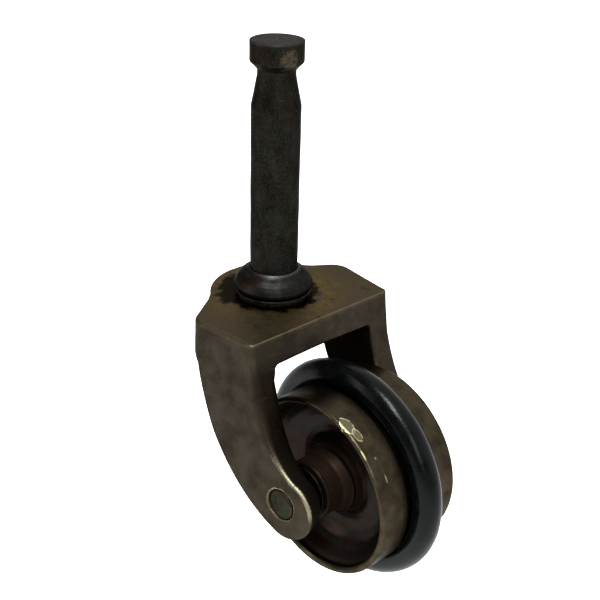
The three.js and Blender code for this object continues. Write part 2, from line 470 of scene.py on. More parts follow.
def gradient(distance, points, step=0.02):
    columns = []
    for axis in range(3):
        ahead = points.copy()
        behind = points.copy()
        ahead[:, axis] += step
        behind[:, axis] -= step
        columns.append((distance(*ahead.T) - distance(*behind.T)) / (2 * step))
    return np.stack(columns, 1)


def surface_of(distance, low, high, pitch):
    """Points, faces and normals of the surface where the distance is 0, a quad for each crossed edge."""
    axes = [np.arange(a - 2 * pitch, b + 2 * pitch, pitch) for a, b in zip(low, high)]
    values = distance(*np.meshgrid(*axes, indexing="ij", sparse=True))
    inside = values < 0
    origin = np.array([a[0] for a in axes])
    cells, points, used = edge_crossings(values, inside, origin, pitch)
    number = np.full(used.shape, -1)
    number[used] = np.arange(len(cells))
    faces = []
    for axis in range(3):
        step_b = np.zeros(3, int)
        step_c = np.zeros(3, int)
        step_b[(axis + 1) % 3] = 1
        step_c[(axis + 2) % 3] = 1
        count = values.shape[axis] - 1
        low_side = np.take(inside, range(count), axis)
        high_side = np.take(inside, range(1, count + 1), axis)
        crossed = np.argwhere(low_side != high_side)
        outward = low_side[tuple(crossed.T)]
        ring = [crossed - step_b - step_c, crossed - step_c, crossed, crossed - step_b]
        quads = np.stack([number[tuple(cell.T)] for cell in ring], 1)
        quads[~outward] = quads[~outward][:, ::-1]
        faces.append(quads)
    for _ in range(2):
        slope = gradient(distance, points)
        size = np.maximum((slope**2).sum(1), 0.25)
        move = slope * (distance(*points.T) / size)[:, None]
        points = points - np.clip(move, -pitch, pitch)
    normals = gradient(distance, points)
    normals /= np.linalg.norm(normals, axis=1)[:, None]
    return points, np.concatenate(faces), normals


def make_fork():
    low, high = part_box("fork")
    low = low / MM - SWIVEL
    high = high / MM - SWIVEL
    points, faces, normals = surface_of(fork_distance, low, high, FORK_PITCH)
    points = points + np.array(SWIVEL)
    piece = make_piece("cast_fork", points, faces.tolist(), "fork", "fork_bronze", ["fork"], normals)
    store_bend(piece)
    return piece


# ---- turned pieces
def make_stem():
    """Disc head, grip neck, cone, shaft, and the journal with its peened end under the fork's plate."""
    top = STEM_HEIGHT
    rivet_top = STEM_BOTTOM + 2.4
    profile = rounded([
        (0, STEM_BOTTOM, 0), (3.4, STEM_BOTTOM + 0.2, 1.5), (5.3, STEM_BOTTOM + 0.9, 1.2),
        (6.2, rivet_top - 0.6, 0.4), (6.2, rivet_top, 0.1), (JOURNAL_RADIUS, rivet_top, 0),
        (JOURNAL_RADIUS, 1.6, 0), (STEM_RADIUS, 1.6, 0.1), (STEM_RADIUS, top - 14.4, 2.0),
        (5.05, top - 11.6, 3.0), (4.45, top - 8.4, 1.4), (4.3, top - 7.6, 0.6),
        (4.3, top - 6.4, 0.5), (5.3, top - 5.3, 0.5), (6.03, top - 4.7, 0.9),
        (6.03, top - 0.1, 0.15), (5.75, top, 0.1), (0.45, top, 0.1),
        (0.25, top - 0.25, 0.05), (0, top - 0.3, 0),
    ])
    return turned_piece("stem_pin", profile, SWIVEL, True, "stem", "stem_steel", ["stem"], 96, waver=0.07)


def make_collar():
    bore = STEM_RADIUS + FIT_GAP
    profile = rounded([
        (bore, 1.6, 0), (8.6, 1.6, 0.2), (8.7, 2.0, 0.1), (COLLAR_RADIUS - 0.3, 1.95, 0.1),
        (COLLAR_RADIUS, 2.3, 0.2), (COLLAR_RADIUS, 2.9, 0.5), (9.1, 3.7, 1.4),
        (8.5, 4.7, 1.6), (7.5, 5.6, 1.4), (6.5, 6.15, 1.0), (6.05, 6.7, 0.5),
        (bore, 6.85, 0), (bore, 1.6, 0),
    ])
    return turned_piece("bell_collar", profile, SWIVEL, True, "stem", "collar_steel", ["stem_collar"],
                        128, closed=True, waver=0.06)


def ring_profile(inner, outer, bottom, top, fillet):
    middle = (bottom + top) / 2
    return rounded([
        (inner, middle, 0), (inner, bottom, fillet / 2), (outer, bottom, fillet),
        (outer, top, fillet), (inner, top, fillet / 2), (inner, middle, 0),
    ])


def make_washers():
    thrust = ring_profile(JOURNAL_RADIUS + 0.2, WASHER_RADIUS, 0.1, 1.5, 0.35)
    turned_piece("grease_washer", thrust, SWIVEL, True, "stem", "greased_steel", ["thrust_washer"],
                 128, closed=True, waver=0.12)
    low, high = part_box("rivet_washer")
    rivet = ring_profile(JOURNAL_RADIUS + FIT_GAP, RIVET_WASHER_RADIUS,
                         low.z / MM - SWIVEL.z, high.z / MM - SWIVEL.z, 0.25)
    turned_piece("under_washer", rivet, SWIVEL, True, "stem", "greased_steel", ["rivet_washer"],
                 96, closed=True)
    for side in ("left", "right"):
        low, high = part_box(side + "_hub_washer")
        profile = ring_profile(PIN_RADIUS + FIT_GAP, HUB_WASHER_RADIUS, low.y / MM, high.y / MM, 0.2)
        turned_piece(side + "_washer", profile, AXLE, False, "wheel", "pin_steel", [side + "_hub_washer"],
                     96, closed=True)


def make_pin():
    half = [
        (0, PIN_HALF, 0), (PIN_RADIUS - 0.3, PIN_HALF, 0.5),
        (PIN_RADIUS, PIN_HALF - 0.35, 0.2),
    ]
    other = [(radius, -along, fillet) for radius, along, fillet in reversed(half)]
    profile = rounded(list(reversed(half + other)))
    return turned_piece("axle_rivet", profile, AXLE, False, "fork", "pin_steel", ["axle_pin"], 96)


def hub_rings(start, end, radius, depth, count):
    """Turned ridges along the hub, from one place to the other."""
    steps = count * 6
    points = []
    for k in range(steps + 1):
        share = k / steps
        along = start + (end - start) * share
        ridge = depth * math.cos(2 * math.pi * count * share)
        points.append((radius + ridge - depth, along, 0))
    return points


def wheel_half():
    """Half of the wheel's outline, from the groove's floor over the rim, down the dish and along the hub."""
    rim = DRUM_RADIUS
    lip = DRUM_HALF_WIDTH
    floor = TYRE_RADIUS - 2 * TYRE_TUBE - FIT_GAP
    outline = [
        (floor, 0, 0), (floor, GROOVE_HALF_WIDTH, 0.3),
        (rim - 0.1, GROOVE_HALF_WIDTH, 0.25), (rim, GROOVE_HALF_WIDTH + 0.5, 0.3),
        (rim, lip - 0.5, 0.5), (rim - 0.3, lip + 0.05, 0.4), (rim - 1.0, lip + 0.1, 0.6),
        (rim - 1.6, lip - 0.45, 0.5), (rim - 1.8, lip - 1.5, 0.6), (19.5, 9.2, 2.0),
        (18.6, 7.2, 4.0), (16.9, 5.1, 4.0), (14.6, 3.8, 4.0), (12.2, 3.3, 3.0),
        (10.2, 3.6, 2.0), (9.0, 5.0, 1.6), (8.2, 7.0, 1.6), (7.4, 9.0, 1.0),
    ]
    outline += hub_rings(9.6, 13.4, 7.1, 0.035, 5)
    outline += [
        (6.8, 14.0, 0.2), (PIN_RADIUS + FIT_GAP, 14.0, 0),
    ]
    return outline


def make_wheel():
    half = wheel_half()
    other = [(radius, -along, fillet) for radius, along, fillet in half]
    corners = list(reversed(other)) + half[1:] + [other[-1]]
    profile = rounded(corners)
    return turned_piece("dished_wheel", profile, AXLE, False, "wheel", "wheel_bronze", ["wheel"],
                        192, closed=True, waver=0.05)


def make_tyre():
    middle = TYRE_RADIUS - TYRE_TUBE
    profile = []
    for angle in np.linspace(-math.pi, math.pi, 49):
        profile.append((middle + TYRE_TUBE * math.cos(angle), TYRE_TUBE * math.sin(angle)))
    centre = AXLE + Vector((0, TYRE_SHIFT, 0))
    return turned_piece("ring_tyre", profile, centre, False, "wheel", "tyre_rubber", ["tyre"],
                        192, closed=True, waver=0.05)


# ---- materials
# Linear colours of the paint, named after where they show
GRIME = (0.006, 0.004, 0.003)
FORK_DARK = (0.030, 0.0237, 0.017)
FORK_LIGHT = (0.050, 0.0405, 0.030)
FORK_CLOUD = (0.066, 0.053, 0.036)
FORK_GRAIN = (0.09, 0.075, 0.052)
FORK_PIT = (0.018, 0.012, 0.008)
FORK_SCRATCH = (0.11, 0.093, 0.066)
FORK_EDGE = (0.12, 0.098, 0.064)
TOP_PAINTED_LIGHT = (0.076, 0.060, 0.036)
FRONT_PAINTED_SHADE = (0.013, 0.0075, 0.004)
INNER_PAINTED_SHADE = (0.0022, 0.0013, 0.0010)
GOLD_TARNISH = (0.128, 0.077, 0.022)
GOLD_DUST = (0.19, 0.135, 0.06)
TOP_STAIN = (0.030, 0.019, 0.009)
POLISHED_EDGE = (0.36, 0.32, 0.21)
FRONT_EDGE_HIGHLIGHT = (0.17, 0.145, 0.09)
PALE_RING = (0.19, 0.145, 0.085)
OLD_GREASE = (0.005, 0.0038, 0.003)
STEM_DARK = (0.006, 0.006, 0.005)
STEM_LIGHT = (0.017, 0.0172, 0.0145)
STEM_GRAIN = (0.033, 0.0315, 0.0255)
STEM_PIT = (0.005, 0.0045, 0.0035)
STEM_RUST = (0.0265, 0.0125, 0.0075)
STEM_HEAD = (0.044, 0.041, 0.035)
STEM_SPOT = (0.065, 0.06, 0.048)
STEM_EDGE = (0.06, 0.055, 0.04)
STEM_SCRATCH = (0.05, 0.049, 0.04)
CHIP_FACE = (0.082, 0.071, 0.045)
COLLAR_DARK = (0.012, 0.0118, 0.0105)
COLLAR_LIGHT = (0.025, 0.025, 0.0225)
COLLAR_RUST = (0.022, 0.012, 0.0075)
COLLAR_RUB_AND_HIGHLIGHT = (0.075, 0.073, 0.067)
COLLAR_EDGE = (0.06, 0.058, 0.05)
COLLAR_FOOT_SHADE = (0.007, 0.006, 0.005)
STEEL_PIT = (0.006, 0.005, 0.004)
GREASED_DARK = (0.006, 0.0045, 0.0035)
GREASED_LIGHT = (0.022, 0.016, 0.011)
PIN_DARK = (0.018, 0.0178, 0.0115)
PIN_LIGHT = (0.033, 0.0325, 0.021)
PIN_RUST = (0.032, 0.014, 0.008)
PIN_TURNED = (0.042, 0.041, 0.028)
PIN_EDGE = (0.07, 0.06, 0.04)
WHEEL_DARK = (0.030, 0.0235, 0.015)
WHEEL_LIGHT = (0.062, 0.049, 0.031)
WHEEL_TURNED = (0.09, 0.075, 0.048)
WHEEL_GRAIN = (0.085, 0.07, 0.045)
WHEEL_EDGE = (0.13, 0.105, 0.065)
DISH_GREY = (0.0150, 0.0138, 0.0115)
DISH_RED = (0.0185, 0.0085, 0.006)
DISH_TURNED = (0.034, 0.027, 0.019)
HUB_BROWN = (0.024, 0.0125, 0.0075)
HUB_END_SHADE = (0.007, 0.005, 0.004)
HUB_STREAK = (0.07, 0.052, 0.03)
TYRE_DARK = (0.0008, 0.001, 0.001)
TYRE_LIGHT = (0.0026, 0.003, 0.0029)
TYRE_DUST = (0.03, 0.03, 0.027)
BARE_BRASS_AND_GLINT = (0.66, 0.60, 0.33)
RUBBED_AND_GLINT = (0.20, 0.175, 0.105)

SOFT = (0.3, 0.7)  # span of a noise that makes soft patches

# Rub marks on the rim, the rings also painted as a glint: degrees round the axle from +X upwards,
# millimetres along it, and half sizes
RUB_RINGS_AND_GLINTS = ((68, -10.5, 2.3, 1.35), (60.5, -10.0, 1.7, 0.95))
RUB_DABS = ((48.5, -11.6, 1.3, 0.22), (44, -9.2, 0.4, 0.18), (31, -8.7, 1.0, 0.2))


class Paint:
    """Builds one procedural material. Places are in millimetres, in the frame at rest."""

    def __init__(self, name):
        self.material = bpy.data.materials.new(name)
        self.material.use_nodes = True
        self.nodes = self.material.node_tree.nodes
        self.links = self.material.node_tree.links
        self.shader = self.nodes["Principled BSDF"]
        place = self.nodes.new("ShaderNodeTexCoord").outputs["Object"]
        self.place = self.vector("SCALE", place, scale=1 / MM)

    def put(self, socket, value):
        if isinstance(value, bpy.types.NodeSocket):
            self.links.new(value, socket)
        elif hasattr(value, "__len__") and len(value) == 3 and len(socket.default_value) == 4:
            socket.default_value = (*value, 1)
        else:
            socket.default_value = value

    def vector(self, operation, *values, scale=None):
        node = self.nodes.new("ShaderNodeVectorMath")
        node.operation = operation
        for socket, value in zip(node.inputs, values):
            self.put(socket, value)
        if scale is not None:
            node.inputs["Scale"].default_value = scale
        return node.outputs["Vector"]

    def math(self, operation, *values):
        node = self.nodes.new("ShaderNodeMath")
        node.operation = operation
        for socket, value in zip(node.inputs, values):
            self.put(socket, value)
        return node.outputs[0]

    def times(self, *values):
        result = values[0]
        for value in values[1:]:
            result = self.math("MULTIPLY", result, value)
        return result

    def total(self, *values):
        result = values[0]
        for value in values[1:]:
            result = self.math("ADD", result, value)
        return result

    def span(self, value, low, high, start=0.0, end=1.0):
        """Smooth change from start to end as the value goes from low to high."""
        node = self.nodes.new("ShaderNodeMapRange")
        node.interpolation_type = "SMOOTHSTEP"
        for socket, number in zip(node.inputs, (value, low, high, start, end)):
            self.put(socket, number)
        return node.outputs["Result"]

    def noise(self, size, detail=4.0, rough=0.6, stretch=(1, 1, 1), shift=(0, 0, 0), place=None):
        """Noise from 0 to 1 with lumps of about that many millimetres, longer on an axis by its stretch."""
        moved = self.vector("ADD", place or self.place, shift)
        scaled = self.vector("DIVIDE", moved, tuple(size * s for s in stretch))
        node = self.nodes.new("ShaderNodeTexNoise")
        self.put(node.inputs["Vector"], scaled)
        node.inputs["Scale"].default_value = 1.0
        node.inputs["Detail"].default_value = detail
        node.inputs["Roughness"].default_value = rough
        return node.outputs["Fac"]

    def pits(self, size):
        """Distance to the nearest of scattered points, in units of their spacing."""
        node = self.nodes.new("ShaderNodeTexVoronoi")
        scaled = self.vector("DIVIDE", self.place, (size, size, size))
        self.put(node.inputs["Vector"], scaled)
        node.inputs["Scale"].default_value = 1.0
        return node.outputs["Distance"]

    def mix(self, amount, first, second):
        node = self.nodes.new("ShaderNodeMix")
        node.data_type = "RGBA"
        self.put(node.inputs["Factor"], amount)
        colours = [s for s in node.inputs if s.type == "RGBA"]
        self.put(colours[0], first)
        self.put(colours[1], second)
        return next(s for s in node.outputs if s.type == "RGBA")

    def over(self, colour, cover, *amounts):
        """The colour with another laid over it, as much as the amounts multiplied together."""
        return self.mix(self.times(*amounts), colour, cover)

    def blend(self, amount, first, second):
        """The same for numbers."""
        node = self.nodes.new("ShaderNodeMix")
        self.put(node.inputs["Factor"], amount)
        self.put(node.inputs["A"], first)
        self.put(node.inputs["B"], second)
        return node.outputs["Result"]

    def attribute(self, name):
        node = self.nodes.new("ShaderNodeAttribute")
        node.attribute_name = name
        return node.outputs["Fac"]

    def split(self, vector):
        node = self.nodes.new("ShaderNodeSeparateXYZ")
        self.put(node.inputs[0], vector)
        return node.outputs["X"], node.outputs["Y"], node.outputs["Z"]

    def from_point(self, centre):
        """X, Y and Z of the place, seen from a centre."""
        return self.split(self.vector("SUBTRACT", self.place, tuple(centre)))

    def object_normal(self):
        return self.split(self.nodes.new("ShaderNodeTexCoord").outputs["Normal"])

    def length(self, a, b):
        return self.math("SQRT", self.math("ADD", self.times(a, a), self.times(b, b)))

    def bump(self, height, depth):
        """Relief from a height of 0 to 1, that many millimetres deep."""
        node = self.nodes.new("ShaderNodeBump")
        node.inputs["Strength"].default_value = 1.0
        node.inputs["Distance"].default_value = depth * MM
        self.put(node.inputs["Height"], height)
        self.put(self.shader.inputs["Normal"], node.outputs["Normal"])

    def finish(self, colour, roughness, metallic):
        if metallic:
            self.shader.inputs["Specular Tint"].default_value = (0.5, 0.5, 0.5, 1)
        self.put(self.shader.inputs["Base Color"], colour)
        self.put(self.shader.inputs["Roughness"], roughness)
        self.put(self.shader.inputs["Metallic"], metallic)
        return self.material


def grime_and_wear(paint, colour, brass, wear_amount=1.0):
    """Dark grime in the hollows and bare metal on the raised edges, both broken up by noise."""
    bend = paint.attribute("bend")
    patches = paint.noise(2.6, 4, 0.65, shift=(7, 3, 1))
    grime = paint.times(paint.span(bend, -0.05, -0.6), paint.span(patches, 0.25, 0.6, 0.5, 1.0))
    wear = paint.times(paint.span(bend, 0.2, 0.9), paint.span(patches, 0.42, 0.66), wear_amount)
    colour = paint.over(colour, GRIME, grime, 0.75)
    return paint.mix(wear, colour, brass)


def scratch_lines(paint, size, stretch, shift=(0, 0, 0)):
    """Thin long lines, 1 on a line and 0 off it."""
    lines = paint.noise(size, 2, 0.5, stretch, shift)
    return paint.span(lines, 0.64, 0.70)


def fork_base(paint, patches, grains, on_top):
    """Mottled bronze, painted lighter and yellower on the top face as painted light from above."""
    wide = paint.noise(14, 3, 0.5)
    colour = paint.mix(paint.span(patches, *SOFT), FORK_DARK, FORK_LIGHT)
    colour = paint.mix(paint.span(wide, 0.4, 0.7, 0, 0.4), colour, FORK_CLOUD)
    colour = paint.mix(paint.span(grains, 0.55, 0.75, 0, 0.3), colour, FORK_GRAIN)
    colour = paint.mix(paint.span(grains, 0.42, 0.25, 0, 0.35), colour, FORK_PIT)
    # Painted light: the top face made lighter, as lit from above.
    return paint.over(colour, TOP_PAINTED_LIGHT, on_top, 0.75)


def front_of_legs_painted_shade(paint, y, z, normal_x):
    """1 on the legs' front faces, where painted shade darkens them."""
    on_leg = paint.times(paint.span(z, -4, -9), paint.span(z, -33, -20, 0.1, 1.0))
    return paint.times(paint.span(normal_x, 0.45, 0.85), on_leg, paint.span(y, -4, -16, 0.1, 1.0))


def inner_faces_painted_shade(paint, y, z, normal_y, normal_z):
    """1 on the faces between the legs and on the plate's underside, darkened almost to black as painted
    shade.
    """
    inwards = paint.times(normal_y, paint.math("SIGN", y))
    facing_in = paint.times(paint.span(inwards, -0.7, -0.95), paint.span(z, -6.8, -7.6))
    underside = paint.times(paint.span(normal_z, -0.3, -0.8), paint.span(z, -6.3, -6.9))
    return paint.math("MAXIMUM", facing_in, underside)


def golden_tarnish(paint, colour, x, from_stem, on_top):
    """Tarnish and dust on the top face, strongest round the collar, and stains along its front."""
    gold_noise = paint.noise(2.4, 5, 0.7, shift=(1, 1, 5))
    near = paint.span(from_stem, 21, 10, 0.12, 1.0)
    gold = paint.times(on_top, near, paint.span(gold_noise, 0.36, 0.62))
    colour = paint.over(colour, GOLD_TARNISH, gold, 0.85)
    dust = paint.times(on_top, near, paint.span(paint.noise(0.6, 3, 0.7, shift=(4, 4, 4)), 0.52, 0.7))
    colour = paint.over(colour, GOLD_DUST, dust, 0.55)
    stains = paint.times(on_top, paint.span(paint.noise(3.4, 5, 0.7, shift=(12, 3, 3)), 0.56, 0.68))
    return paint.over(colour, TOP_STAIN, stains, 0.6, paint.span(x, 5, 13))


def bare_edges(paint, colour, x, z, on_top):
    """Bare metal and grime along the fork's edges, brightest down the front of its legs, and a painted
    highlight along the top face's front edge.
    """
    bend = paint.attribute("bend")
    colour = grime_and_wear(paint, colour, FORK_EDGE, 0.45)
    forward = paint.total(x, paint.times(z, LEG_LEAN))
    front_side = paint.times(paint.span(forward, 4, 7), paint.span(z, -37, -34))
    polished = paint.times(paint.span(bend, 0.38, 0.7), paint.span(z, -13, -22), front_side)
    colour = paint.over(colour, POLISHED_EDGE, polished, 0.8)
    # Painted highlight: a thin light line along the top face's front edge.
    front_edge_highlight = paint.times(paint.span(bend, 0.5, 1.1), paint.span(x, 16.6, 17.2), on_top)
    return paint.over(colour, FRONT_EDGE_HIGHLIGHT, front_edge_highlight, 0.5)


def pin_ring(paint, grains):
    """1 on a thin ring round the ends of the axle pin."""
    x, _, z = paint.from_point(AXLE)
    return paint.times(paint.span(paint.length(x, z), 4.2, 3.95), paint.span(grains, 0.3, 0.6))


def crept_grease(paint, x, y, from_stem, on_top):
    """1 on old grease that has crept out from under the washer, furthest on the left of the stem's back."""
    ragged = paint.noise(2.4, 4, 0.65, shift=(2, 6, 8))
    reach = paint.span(ragged, 0.25, 0.75, 9.6, 12.0)
    towards_smear = paint.total(paint.times(x, -0.8), paint.times(y, -0.6))
    reach = paint.total(reach, paint.span(towards_smear, 5, 11, 0, 2.6))
    over = paint.math("SUBTRACT", from_stem, reach)
    return paint.times(on_top, paint.span(over, 0.9, -0.7))


def fork_bronze():
    paint = Paint("fork_bronze")
    x, y, z = paint.from_point(SWIVEL)
    normal_x, normal_y, normal_z = paint.object_normal()
    from_stem = paint.length(x, y)
    patches = paint.noise(4.5, 5, 0.62, shift=(3, 9, 4))
    grains = paint.noise(0.45, 3, 0.7)
    marks = scratch_lines(paint, 0.16, (1, 26, 9), (5, 5, 5))
    on_top = paint.span(z, -1.2, -0.2)
    front = front_of_legs_painted_shade(paint, y, z, normal_x)
    inner_shade_mask = inner_faces_painted_shade(paint, y, z, normal_y, normal_z)
    grease = crept_grease(paint, x, y, from_stem, on_top)
    colour = fork_base(paint, patches, grains, on_top)
    # Painted shade: the legs' front faces darkened.
    colour = paint.over(colour, FRONT_PAINTED_SHADE, front, 0.72)
    # Painted shade: the faces between the legs and under the plate made almost black.
    colour = paint.over(colour, INNER_PAINTED_SHADE, inner_shade_mask, 0.93)
    colour = golden_tarnish(paint, colour, x, from_stem, on_top)
    colour = bare_edges(paint, colour, x, z, on_top)
    colour = paint.over(colour, PALE_RING, pin_ring(paint, grains), 0.7)
    colour = paint.over(colour, OLD_GREASE, grease, 0.94)
    colour = paint.over(colour, FORK_SCRATCH, marks, 0.2)
    rough = paint.total(paint.span(patches, *SOFT, 0.48, 0.38), paint.times(grains, 0.10))
    rough = paint.blend(grease, rough, 0.34)
    rough = paint.blend(inner_shade_mask, rough, 0.8)
    skin = paint.noise(0.9, 5, 0.75, shift=(8, 2, 2))
    pitted = paint.span(paint.pits(1.9), 0.14, 0.05)
    height = paint.total(paint.times(skin, 0.8), paint.times(marks, -0.15), paint.times(pitted, -0.5))
    paint.bump(height, 0.07)
    return paint.finish(colour, rough, 1.0)


def stem_steel():
    paint = Paint("stem_steel")
    _, _, z = paint.from_point(SWIVEL)
    patches = paint.noise(3.2, 5, 0.68, (1, 1, 1.8))
    fine = paint.noise(0.42, 4, 0.75)
    rust = paint.noise(1.7, 6, 0.8, (1, 1, 1.1), (9, 4, 2))
    colour = paint.mix(paint.span(patches, *SOFT), STEM_DARK, STEM_LIGHT)
    colour = paint.mix(paint.span(fine, 0.48, 0.68, 0, 0.75), colour, STEM_GRAIN)
    colour = paint.mix(paint.span(fine, 0.48, 0.3, 0, 0.6), colour, STEM_PIT)
    high = paint.span(z, STEM_HEIGHT - 24, STEM_HEIGHT - 6, 0.55, 1.0)
    colour = paint.over(colour, STEM_RUST, paint.span(rust, 0.48, 0.66), high)
    head = paint.span(z, STEM_HEIGHT - 0.6, STEM_HEIGHT - 0.2)
    colour = paint.over(colour, STEM_HEAD, head, 0.7)
    spots = paint.span(paint.noise(1.1, 3, 0.7, shift=(2, 8, 3)), 0.66, 0.74)
    colour = paint.over(colour, STEM_SPOT, spots, 0.45)
    colour = grime_and_wear(paint, colour, STEM_EDGE, 0.8)
    # A chip with a yellowish face under the head's rim
    chip_x, chip_y, chip_z = paint.from_point(SWIVEL + Vector((5.5, -1.4, STEM_HEIGHT - 3.2)))
    away = paint.length(paint.length(chip_x, chip_y), paint.times(chip_z, 0.8))
    chip = paint.span(paint.total(away, paint.times(paint.noise(1.3, 5, 0.8), 3.0)), 3.9, 2.7)
    broken = paint.span(fine, 0.38, 0.58, 0.2, 0.95)
    colour = paint.over(colour, CHIP_FACE, chip, broken)
    marks = scratch_lines(paint, 0.12, (1.5, 1.5, 24))
    colour = paint.over(colour, STEM_SCRATCH, marks, 0.12)
    rough = paint.span(patches, 0.25, 0.75, 0.54, 0.38)
    skin = paint.times(paint.noise(0.8, 5, 0.75), 0.9)
    height = paint.total(skin, paint.times(marks, -0.2), paint.times(chip, -1.5))
    paint.bump(height, 0.08)
    return paint.finish(colour, rough, 1.0)


def collar_steel():
    paint = Paint("collar_steel")
    x, y, z = paint.from_point(SWIVEL)
    from_stem = paint.length(x, y)
    patches = paint.noise(2.6, 5, 0.66, shift=(3, 3, 8))
    colour = paint.mix(paint.span(patches, *SOFT), COLLAR_DARK, COLLAR_LIGHT)
    rust_noise = paint.noise(3.4, 4, 0.7, shift=(1, 7, 2))
    rust_side = paint.span(paint.total(x, y), 2, -8, 0.1, 0.9)
    rust = paint.times(paint.span(rust_noise, 0.46, 0.66), rust_side)
    colour = paint.mix(rust, colour, COLLAR_RUST)
    # Rubbed metal where the collar meets the stem, with a painted highlight that is strongest on the front
    # side.
    rub_and_highlight = paint.times(paint.span(from_stem, 6.5, 6.1), paint.span(x, -1, 4, 0.25, 1.0))
    colour = paint.over(colour, COLLAR_RUB_AND_HIGHLIGHT, rub_and_highlight, 0.8)
    colour = grime_and_wear(paint, colour, COLLAR_EDGE, 0.4)
    # Painted shade: darker at the collar's foot, next to the washer.
    low = paint.span(z, 2.9, 2.2)
    colour = paint.over(colour, COLLAR_FOOT_SHADE, low, 0.6)
    grains = paint.noise(0.5, 4, 0.75)
    colour = paint.mix(paint.span(grains, 0.5, 0.34, 0, 0.6), colour, STEEL_PIT)
    paint.bump(grains, 0.06)
    return paint.finish(colour, paint.span(patches, *SOFT, 0.48, 0.38), 1.0)


def greased_steel():
    paint = Paint("greased_steel")
    patches = paint.noise(1.8, 4, 0.65)
    colour = paint.mix(paint.span(patches, 0.4, 0.7), GREASED_DARK, GREASED_LIGHT)
    rough = paint.span(patches, *SOFT, 0.30, 0.55)
    paint.bump(paint.noise(1.0, 4, 0.7), 0.12)
    return paint.finish(colour, rough, 0.6)


def pin_steel():
    paint = Paint("pin_steel")
    x, _, z = paint.from_point(AXLE)
    radius = paint.length(x, z)
    patches = paint.noise(1.7, 5, 0.65, shift=(4, 1, 2))
    colour = paint.mix(paint.span(patches, *SOFT), PIN_DARK, PIN_LIGHT)
    # Painted shade: the hub washers, outside the pin's radius, made almost black in the gap beside the leg.
    washer_painted_shade = paint.span(radius, PIN_RADIUS + 0.1, PIN_RADIUS + 0.4)
    colour = paint.over(colour, STEEL_PIT, washer_painted_shade, 0.85)
    red = paint.times(paint.span(z, 1.6, 3.4), paint.span(patches, 0.35, 0.6))
    colour = paint.over(colour, PIN_RUST, red, 0.7)
    rings = paint.noise(0.25, 2, 0.6, place=paint_ring_place(paint, radius))
    colour = paint.mix(paint.span(rings, 0.5, 0.7, 0, 0.4), colour, PIN_TURNED)
    colour = grime_and_wear(paint, colour, PIN_EDGE, 0.4)
    paint.bump(paint.total(paint.times(rings, 0.5), paint.noise(0.6, 4, 0.7)), 0.03)
    return paint.finish(colour, paint.span(patches, *SOFT, 0.5, 0.38), 1.0)


def paint_ring_place(paint, radius, along=0.0):
    """A place that changes only with the radius, so that noise there makes rings."""
    node = paint.nodes.new("ShaderNodeCombineXYZ")
    paint.put(node.inputs["X"], radius)
    paint.put(node.inputs["Y"], along)
    return node.outputs[0]


def spot(paint, radius, angle_deg, along, half_round, half_along):
    """Ragged distance from a spot's middle, 1 at its edge, and a mask that is 1 on that side of the rim."""
    x, y, z = paint.from_point(AXLE)
    angle = math.radians(angle_deg)
    across = paint.total(paint.times(x, -math.sin(angle)), paint.times(z, math.cos(angle)))
    outward = paint.total(paint.times(x, math.cos(angle)), paint.times(z, math.sin(angle)))
    ragged = paint.math("SUBTRACT", paint.noise(1.3, 3, 0.6, shift=(angle_deg, 0, 0)), 0.5)
    u = paint.times(across, 1 / half_round)
    v = paint.times(paint.math("SUBTRACT", y, along), 1 / half_along)
    distance = paint.total(paint.length(u, v), paint.times(ragged, 0.55))
    on_rim = paint.span(radius, DRUM_RADIUS - 2, DRUM_RADIUS - 1)
    return distance, paint.times(paint.span(outward, 0, 5), on_rim)


def wheel_base(paint, patches, turning):
    """Mottled bronze with fine turned rings."""
    grains = paint.noise(0.4, 3, 0.7)
    colour = paint.mix(paint.span(patches, *SOFT), WHEEL_DARK, WHEEL_LIGHT)
    colour = paint.mix(paint.span(turning, 0.52, 0.72, 0, 0.25), colour, WHEEL_TURNED)
    return paint.mix(paint.span(grains, 0.5, 0.75, 0, 0.35), colour, WHEEL_GRAIN)


def dish_stain_and_shade(paint, turning):
    """Darker and redder than the rim: red stain, with painted shade in the recessed dish."""
    stain_noise = paint.noise(3.4, 4, 0.6, shift=(1, 8, 1))
    stain_and_shade = paint.mix(paint.span(stain_noise, 0.4, 0.65), DISH_GREY, DISH_RED)
    return paint.mix(paint.span(turning, 0.5, 0.75, 0, 0.35), stain_and_shade, DISH_TURNED)


def hub_stain_and_end_shade(paint, colour, radius, side):
    """The hub is darker than the dish, and darkest at its ends, with painted shade beside the washers."""
    hub = paint.span(radius, 10.4, 8.4)
    colour = paint.over(colour, HUB_BROWN, hub, 0.85)
    # Painted shade at the hub's ends, in the gap beside the washers.
    hub_end_shade = paint.times(hub, paint.span(side, 13.1, 13.5))
    colour = paint.over(colour, HUB_END_SHADE, hub_end_shade, 0.85)
    streaks = paint.noise(0.55, 3, 0.6, (1, 0.35, 1), (4, 4, 4))
    return paint.over(colour, HUB_STREAK, hub, paint.span(streaks, 0.58, 0.74), 0.35)


def rub_marks_and_glints(paint, colour, radius):
    """Bare brass where the rim has rubbed: ragged rings with a pale middle, which also stand for a glint as
    painted highlight, and faint dabs.
    """
    for angle, along, half_round, half_along in RUB_RINGS_AND_GLINTS:
        distance, this_side = spot(paint, radius, angle, along, half_round, half_along)
        broken = paint.span(paint.noise(0.8, 2, 0.6, shift=(angle, 3, 1)), 0.36, 0.5)
        edge = paint.times(paint.span(distance, 0.84, 0.93), paint.span(distance, 1.08, 0.98), broken)
        colour = paint.over(colour, RUBBED_AND_GLINT, paint.span(distance, 1.0, 0.8), this_side, 0.75)
        # Painted highlight: the bright ring of a glint round each rub.
        colour = paint.over(colour, BARE_BRASS_AND_GLINT, edge, this_side)
    for angle, along, half_round, half_along in RUB_DABS:
        distance, this_side = spot(paint, radius, angle, along, half_round, half_along)
        colour = paint.over(colour, BARE_BRASS_AND_GLINT, paint.span(distance, 1.1, 0.7), this_side, 0.4)
    return colour


